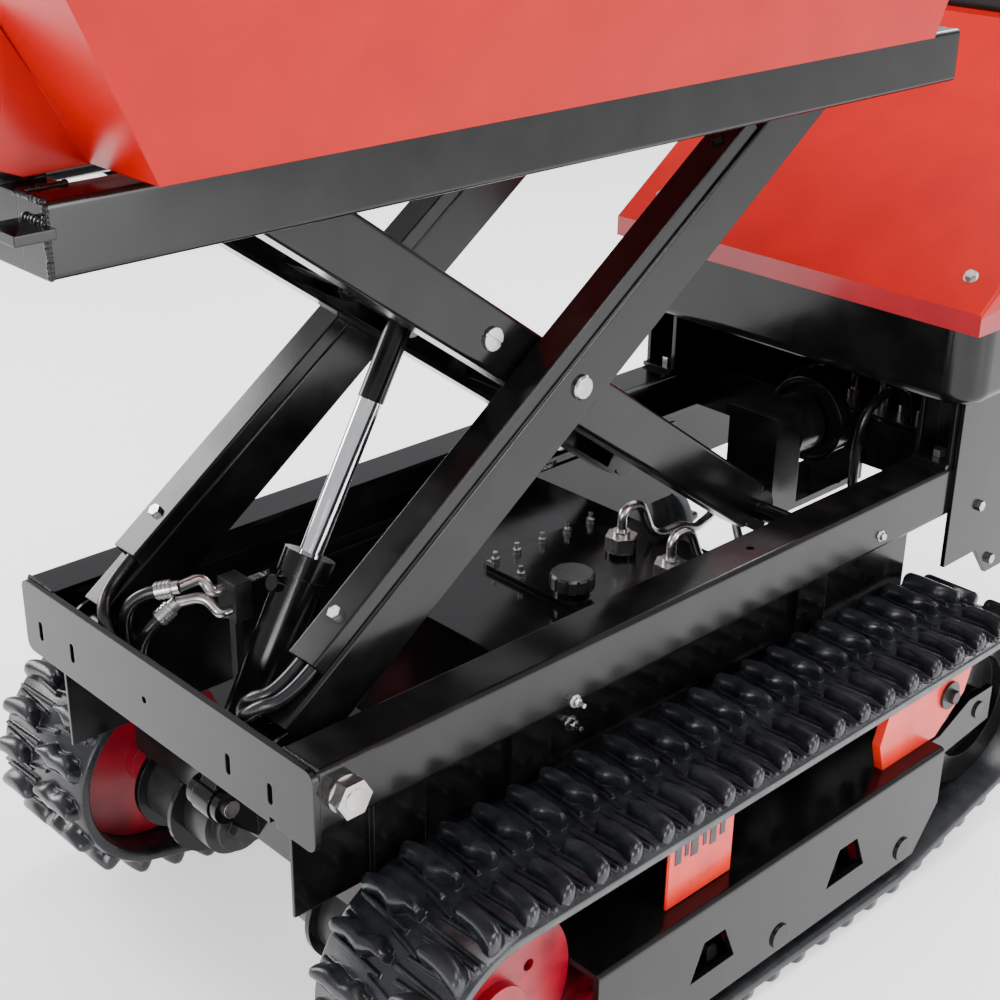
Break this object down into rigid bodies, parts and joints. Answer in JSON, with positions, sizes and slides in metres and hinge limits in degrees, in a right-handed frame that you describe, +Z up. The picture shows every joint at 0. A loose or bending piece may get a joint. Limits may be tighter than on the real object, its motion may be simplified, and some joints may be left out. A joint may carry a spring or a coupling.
{
  "type": "power wheelbarrow",
  "caption": "Tracked power wheelbarrow with rubber belts, a scissor lift, a tipping skip, hydraulic cylinders, an engine under a sloping cowl and a control console.",
  "frame": {"origin": "on the ground under the middle of the whole machine", "axes": "+Y from the skip's pouring end to the operator's console, +Z up, +X to the side seen in the picture"},
  "size_m": [0.806, 1.9382, 1.417],
  "materials": {
    "black_paint": "gloss",
    "red_paint": "gloss",
    "track_rubber": "satin",
    "hose_rubber": "satin",
    "zinc_steel": "satin",
    "chrome": "polished",
    "roller_steel": "satin",
    "wheel_red": "satin",
    "cast_grey": "satin",
    "exhaust": "matte",
    "black_plastic": "gloss",
    "fuel_plastic": "matte"
  },
  "bodies": {
    "chassis": {"front_plate": "black_paint", "rail_left": "black_paint", "rail_right": "black_paint", "crossbeams": "black_paint", "rear_panels": "black_paint", "tray_brackets": "black_paint", "frame_bolts": "zinc_steel", "track_frame_left": "black_paint", "track_frame_right": "black_paint", "track_tensioners": "black_paint", "track_guides": "red_paint", "track_left": "track_rubber", "track_right": "track_rubber", "travel_motors": "cast_grey", "oil_tank": "black_paint", "oil_pipes": "zinc_steel", "pump": "cast_grey", "valve_block": "cast_grey", "lift_hoses": "hose_rubber", "pump_hoses": "hose_rubber", "engine_tray": "black_paint", "cowl": "red_paint", "engine": "cast_grey", "muffler": "exhaust", "fuel_tank": "fuel_plastic", "console": "black_paint", "handlebars": "black_paint"},
    "outer_arms": {"outer_arm_left": "black_paint", "outer_arm_right": "black_paint", "hose_covers": "black_paint", "centre_pins": "zinc_steel"},
    "inner_arms": {"inner_arm_left": "black_paint", "inner_arm_right": "black_paint", "inner_crossbars": "black_paint"},
    "upper_frame": {"upper_rail_left": "black_paint", "upper_rail_right": "black_paint", "upper_crossbars": "black_paint"},
    "lower_rollers": {"lower_rollers": "roller_steel"},
    "upper_rollers": {"upper_rollers": "roller_steel"},
    "lift_barrel": {"lift_barrel": "black_paint"},
    "lift_rod": {"lift_rod": "chrome"},
    "skip": {"skip": "red_paint"},
    "tip_barrel": {"tip_barrel": "black_paint"},
    "tip_rod": {"tip_rod": "chrome"},
    "drive_wheel_left": {"drive_wheel_left": "wheel_red"},
    "drive_wheel_right": {"drive_wheel_right": "wheel_red"},
    "idler_left": {"idler_left": "black_paint"},
    "idler_right": {"idler_right": "black_paint"},
    "lever_drive_left": {"lever_drive_left": "black_plastic"},
    "lever_drive_right": {"lever_drive_right": "black_plastic"},
    "lever_lift": {"lever_lift": "black_plastic"},
    "lever_tip": {"lever_tip": "black_plastic"},
    "lever_throttle": {"lever_throttle": "black_plastic"},
    "filler_cap": {"filler_cap": "black_plastic"},
    "track_roller_left_1": {"track_roller_left_1": "wheel_red"},
    "track_roller_left_2": {"track_roller_left_2": "wheel_red"},
    "track_roller_left_3": {"track_roller_left_3": "wheel_red"},
    "track_roller_right_1": {"track_roller_right_1": "wheel_red"},
    "track_roller_right_2": {"track_roller_right_2": "wheel_red"},
    "track_roller_right_3": {"track_roller_right_3": "wheel_red"}
  },
  "joints": [
    {"name": "scissor_lift", "type": "hinge", "parent": "chassis", "child": "outer_arms", "pos_m": [0, -0.601, 0.455], "axis": [1, 0, 0], "range_deg": [-23.7, 10.3], "deforming": ["lift_hoses"]},
    {"name": "centre_pivot", "type": "hinge", "parent": "outer_arms", "child": "inner_arms", "pos_m": [0, -0.20876, 0.73685], "axis": [1, 0, 0], "range_deg": [-20.6, 47.4]},
    {"name": "upper_pivot", "type": "hinge", "parent": "inner_arms", "child": "upper_frame", "pos_m": [0, -0.601, 1.0187], "axis": [1, 0, 0], "range_deg": [-23.7, 10.3]},
    {"name": "lower_roller_spin", "type": "hinge", "parent": "inner_arms", "child": "lower_rollers", "pos_m": [0, 0.18348, 0.455], "axis": [1, 0, 0], "continuous": true},
    {"name": "upper_roller_spin", "type": "hinge", "parent": "outer_arms", "child": "upper_rollers", "pos_m": [0, 0.18348, 1.0187], "axis": [1, 0, 0], "continuous": true},
    {"name": "lift_barrel_swing", "type": "hinge", "parent": "chassis", "child": "lift_barrel", "pos_m": [0, -0.572, 0.3], "axis": [1, 0, 0], "range_deg": [-19.8, 8.7]},
    {"name": "lift_rod_slide", "type": "slide", "parent": "lift_barrel", "child": "lift_rod", "axis": [0, 0.4903, 0.8715], "range_m": [-0.128, 0.056]},
    {"name": "skip_tip", "type": "hinge", "parent": "upper_frame", "child": "skip", "pos_m": [0, -0.822, 1.0707], "axis": [1, 0, 0], "range_deg": [0, 70]},
    {"name": "tip_barrel_swing", "type": "hinge", "parent": "upper_frame", "child": "tip_barrel", "pos_m": [0, -0.762, 1.0187], "axis": [1, 0, 0], "range_deg": [0, 73.18]},
    {"name": "tip_rod_slide", "type": "slide", "parent": "tip_barrel", "child": "tip_rod", "axis": [0, 0.9998, 0.0206], "range_m": [0, 0.0878]},
    {"name": "drive_spin_left", "type": "hinge", "parent": "chassis", "child": "drive_wheel_left", "pos_m": [0.313, -0.492, 0.188], "axis": [1, 0, 0], "continuous": true},
    {"name": "idler_spin_left", "type": "hinge", "parent": "chassis", "child": "idler_left", "pos_m": [0.313, 0.374, 0.188], "axis": [1, 0, 0], "continuous": true},
    {"name": "roller_spin_left_1", "type": "hinge", "parent": "chassis", "child": "track_roller_left_1", "pos_m": [0.313, -0.317, 0.0733], "axis": [1, 0, 0], "continuous": true},
    {"name": "roller_spin_left_2", "type": "hinge", "parent": "chassis", "child": "track_roller_left_2", "pos_m": [0.313, -0.067, 0.0733], "axis": [1, 0, 0], "continuous": true},
    {"name": "roller_spin_left_3", "type": "hinge", "parent": "chassis", "child": "track_roller_left_3", "pos_m": [0.313, 0.183, 0.0733], "axis": [1, 0, 0], "continuous": true},
    {"name": "drive_spin_right", "type": "hinge", "parent": "chassis", "child": "drive_wheel_right", "pos_m": [-0.313, -0.492, 0.188], "axis": [1, 0, 0], "continuous": true},
    {"name": "idler_spin_right", "type": "hinge", "parent": "chassis", "child": "idler_right", "pos_m": [-0.313, 0.374, 0.188], "axis": [1, 0, 0], "continuous": true},
    {"name": "roller_spin_right_1", "type": "hinge", "parent": "chassis", "child": "track_roller_right_1", "pos_m": [-0.313, -0.317, 0.0733], "axis": [1, 0, 0], "continuous": true},
    {"name": "roller_spin_right_2", "type": "hinge", "parent": "chassis", "child": "track_roller_right_2", "pos_m": [-0.313, -0.067, 0.0733], "axis": [1, 0, 0], "continuous": true},
    {"name": "roller_spin_right_3", "type": "hinge", "parent": "chassis", "child": "track_roller_right_3", "pos_m": [-0.313, 0.183, 0.0733], "axis": [1, 0, 0], "continuous": true},
    {"name": "steer_left", "type": "hinge", "parent": "chassis", "child": "lever_drive_left", "pos_m": [0.186, 0.895, 1.064], "axis": [1, 0, 0], "range_deg": [-16, 18], "stiffness_Nm_per_rad": 8},
    {"name": "steer_right", "type": "hinge", "parent": "chassis", "child": "lever_drive_right", "pos_m": [-0.186, 0.895, 1.064], "axis": [1, 0, 0], "range_deg": [-16, 18], "stiffness_Nm_per_rad": 8},
    {"name": "lift_control", "type": "hinge", "parent": "chassis", "child": "lever_lift", "pos_m": [0.04, 0.845, 1.074], "axis": [1, 0, 0], "range_deg": [-18, 18], "stiffness_Nm_per_rad": 6},
    {"name": "tip_control", "type": "hinge", "parent": "chassis", "child": "lever_tip", "pos_m": [0.1, 0.845, 1.074], "axis": [1, 0, 0], "range_deg": [-18, 18], "stiffness_Nm_per_rad": 6},
    {"name": "throttle", "type": "hinge", "parent": "chassis", "child": "lever_throttle", "pos_m": [-0.09, 0.845, 1.074], "axis": [1, 0, 0], "range_deg": [-20, 20]},
    {"name": "filler_cap_turn", "type": "hinge", "parent": "chassis", "child": "filler_cap", "pos_m": [0.095, -0.12, 0.416], "axis": [0, 0, 1], "range_deg": [0, 90]}
  ],
  "couplings": [
    {"joint": "centre_pivot", "follows": "scissor_lift", "ratio": -2},
    {"joint": "upper_pivot", "follows": "scissor_lift", "ratio": 1},
    {"joint": "lift_barrel_swing", "follows": "scissor_lift", "ratio": 0.8328},
    {"joint": "lift_rod_slide", "follows": "scissor_lift", "m_per_rad": 0.3068},
    {"joint": "tip_barrel_swing", "follows": "skip_tip", "ratio": 1.044},
    {"joint": "tip_rod_slide", "follows": "skip_tip", "m_per_rad": 0.07146},
    {"joint": "idler_spin_left", "follows": "drive_spin_left", "ratio": 1},
    {"joint": "roller_spin_left_1", "follows": "drive_spin_left", "ratio": 2.75},
    {"joint": "roller_spin_left_2", "follows": "drive_spin_left", "ratio": 2.75},
    {"joint": "roller_spin_left_3", "follows": "drive_spin_left", "ratio": 2.75},
    {"joint": "idler_spin_right", "follows": "drive_spin_right", "ratio": 1},
    {"joint": "roller_spin_right_1", "follows": "drive_spin_right", "ratio": 2.75},
    {"joint": "roller_spin_right_2", "follows": "drive_spin_right", "ratio": 2.75},
    {"joint": "roller_spin_right_3", "follows": "drive_spin_right", "ratio": 2.75}
  ]
}
